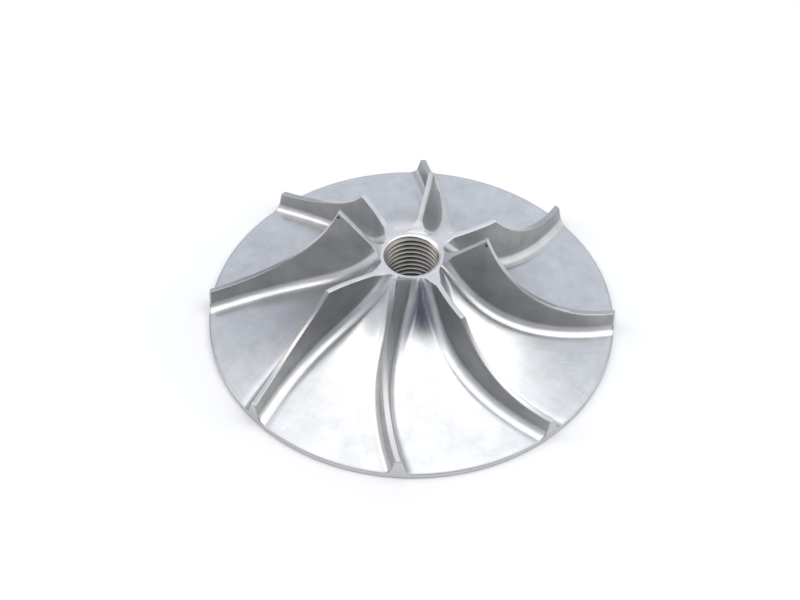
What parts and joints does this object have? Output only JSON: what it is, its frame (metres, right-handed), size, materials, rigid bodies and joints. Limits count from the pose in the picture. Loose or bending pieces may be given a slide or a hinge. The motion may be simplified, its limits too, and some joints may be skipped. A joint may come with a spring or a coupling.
{
  "type": "water pump impeller",
  "caption": "Open water pump impeller: thin disc with swept full and splitter blades that rise to a hub ring around a threaded through bore.",
  "frame": {"origin": "on the rotation axis, at the flat back face of the disc", "axes": "+Z along the rotation axis, from the back face towards the hub ring; +X from the axis to the point where the camber line of one full blade meets the rim"},
  "size_m": [0.086, 0.086, 0.0284],
  "materials": {
    "milled_aluminium": "bare aluminium as milled, satin with fine tool marks"
  },
  "bodies": {
    "root": {"impeller": "milled_aluminium"}
  },
  "joints": []
}
